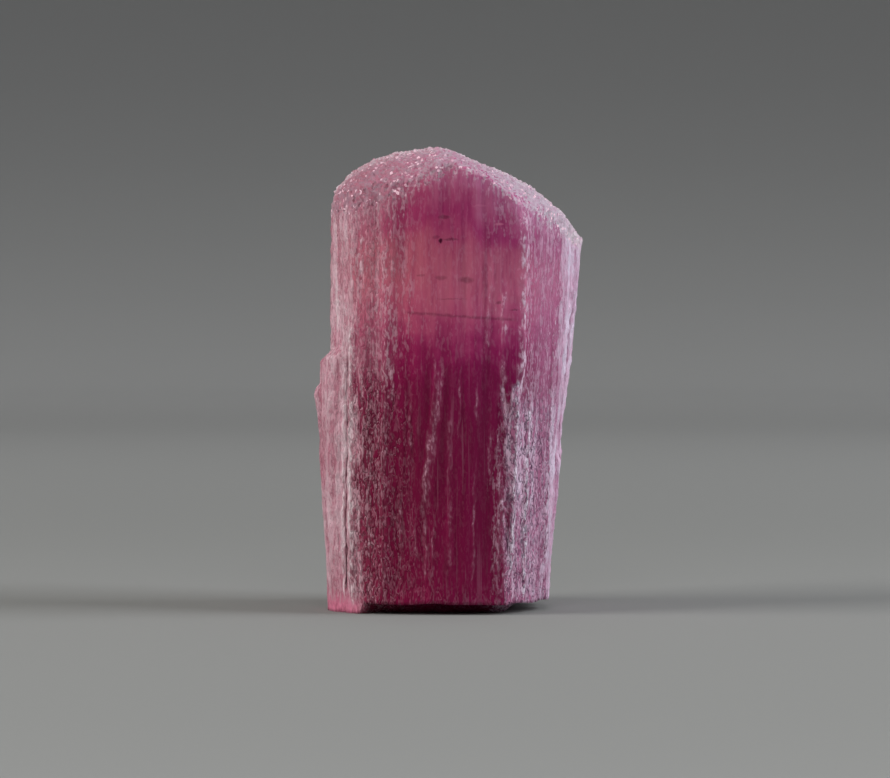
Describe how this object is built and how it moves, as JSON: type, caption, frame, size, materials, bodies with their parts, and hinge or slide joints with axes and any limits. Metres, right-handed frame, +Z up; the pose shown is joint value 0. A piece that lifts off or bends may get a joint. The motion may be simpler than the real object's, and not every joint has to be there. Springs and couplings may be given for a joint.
{
  "type": "rubellite crystal",
  "caption": "Stout, vertically striated red tourmaline prism with a sugary etched dome sloping to one side and an overgrown rib down its left edge.",
  "frame": {"origin": "on the resting plane, under the middle of the bounding box", "axes": "+Z up the crystal's long axis, -Y out of the front face that the picture shows, +X to that view's right"},
  "size_m": [0.0222, 0.0184, 0.0385],
  "materials": {
    "rubellite": "etched satin with clear windows"
  },
  "bodies": {
    "root": {"rubellite_crystal": "rubellite"}
  },
  "joints": []
}
